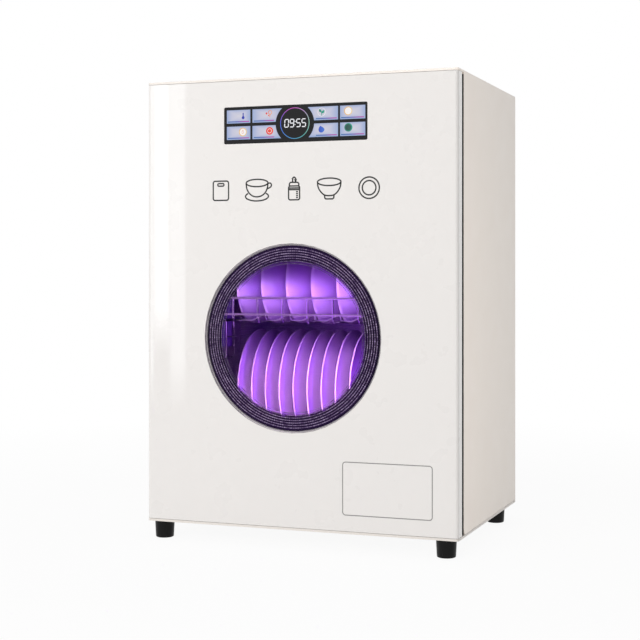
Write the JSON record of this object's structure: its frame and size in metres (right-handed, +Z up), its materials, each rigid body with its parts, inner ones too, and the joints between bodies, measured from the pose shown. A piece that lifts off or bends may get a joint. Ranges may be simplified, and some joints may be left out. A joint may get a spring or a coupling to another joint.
{
  "type": "dish sterilizer cabinet",
  "caption": "Countertop cabinet that dries and sterilizes dishes on wire racks behind a door with a round window and a touch display.",
  "frame": {"origin": "on the floor under the middle of the cabinet's width and depth", "axes": "+Z up, -Y out of the door's front, +X to the right seen from the front"},
  "size_m": [0.36, 0.268, 0.511],
  "materials": {
    "white_paint": "semi-gloss warm white powder coat",
    "white_door": "glossy warm white moulding",
    "zinc_sheet": "plain zinc-plated sheet",
    "grey_frame": "satin grey moulding",
    "liner_steel": "bright stainless sheet",
    "rack_wire": "bright plated wire",
    "black_plastic": "satin black",
    "black_rubber": "smooth black rubber",
    "grey_rubber": "matte grey rubber",
    "window_glass": "clear glass with a printed rim",
    "display_glass": "black glass with lit symbols",
    "lamp_glass": "lit violet tube",
    "glaze": "white glaze",
    "board": "green circuit board",
    "bronze": "plain sintered bronze"
  },
  "bodies": {
    "cabinet": {"outer_shell": "white_paint", "base_plate": "white_paint", "rear_panel": "zinc_sheet", "cord_gland": "black_plastic", "front_frame": "grey_frame", "liner_shell": "liner_steel", "upper_rail_left": "liner_steel", "upper_rail_right": "liner_steel", "lower_rail_left": "liner_steel", "lower_rail_right": "liner_steel", "uv_lamp_tube": "lamp_glass", "lamp_holder_bottom": "black_plastic", "lamp_holder_top": "black_plastic", "lamp_guard": "rack_wire", "heater_block": "zinc_sheet", "fan_housing": "black_plastic", "control_board": "board", "lamp_ballast": "zinc_sheet", "foot_front_left": "black_rubber", "foot_front_right": "black_rubber", "foot_rear_left": "black_rubber", "foot_rear_right": "black_rubber", "hinge_pin_top": "zinc_sheet", "hinge_pin_bottom": "zinc_sheet", "magnet_catch": "black_plastic", "door_sensor": "black_plastic"},
    "door": {"door_panel": "white_door", "door_back_panel": "white_paint", "window_pane": "window_glass", "window_seal": "black_rubber", "window_inner_pane": "window_glass", "display_glass": "display_glass", "display_module": "board", "door_gasket": "grey_rubber", "strike_plate": "zinc_sheet", "hinge_bush_top": "bronze", "hinge_bush_bottom": "bronze"},
    "upper_rack": {"upper_rack": "rack_wire", "bowl_1": "glaze", "bowl_2": "glaze", "bowl_3": "glaze", "bowl_4": "glaze", "bowl_5": "glaze"},
    "lower_rack": {"lower_rack": "rack_wire", "plate_1": "glaze", "plate_2": "glaze", "plate_3": "glaze", "plate_4": "glaze", "plate_5": "glaze", "plate_6": "glaze", "plate_7": "glaze", "plate_8": "glaze", "plate_9": "glaze"},
    "drip_tray": {"drip_tray": "liner_steel"},
    "fan_rotor": {"fan_rotor": "black_plastic"}
  },
  "joints": [
    {"name": "door_hinge", "type": "hinge", "parent": "cabinet", "child": "door", "pos_m": [-0.17175, -0.12575, 0.265], "axis": [0, 0, -1], "range_deg": [0, 110]},
    {"name": "upper_rack_slide", "type": "slide", "parent": "cabinet", "child": "upper_rack", "axis": [0, -1, 0], "range_m": [0, 0.03]},
    {"name": "lower_rack_slide", "type": "slide", "parent": "cabinet", "child": "lower_rack", "axis": [0, -1, 0], "range_m": [0, 0.03]},
    {"name": "drip_tray_slide", "type": "slide", "parent": "cabinet", "child": "drip_tray", "axis": [0, -1, 0], "range_m": [0, 0.012]},
    {"name": "fan_spin", "type": "hinge", "parent": "cabinet", "child": "fan_rotor", "pos_m": [0, 0.12, 0.139], "axis": [0, -1, 0], "continuous": true}
  ]
}
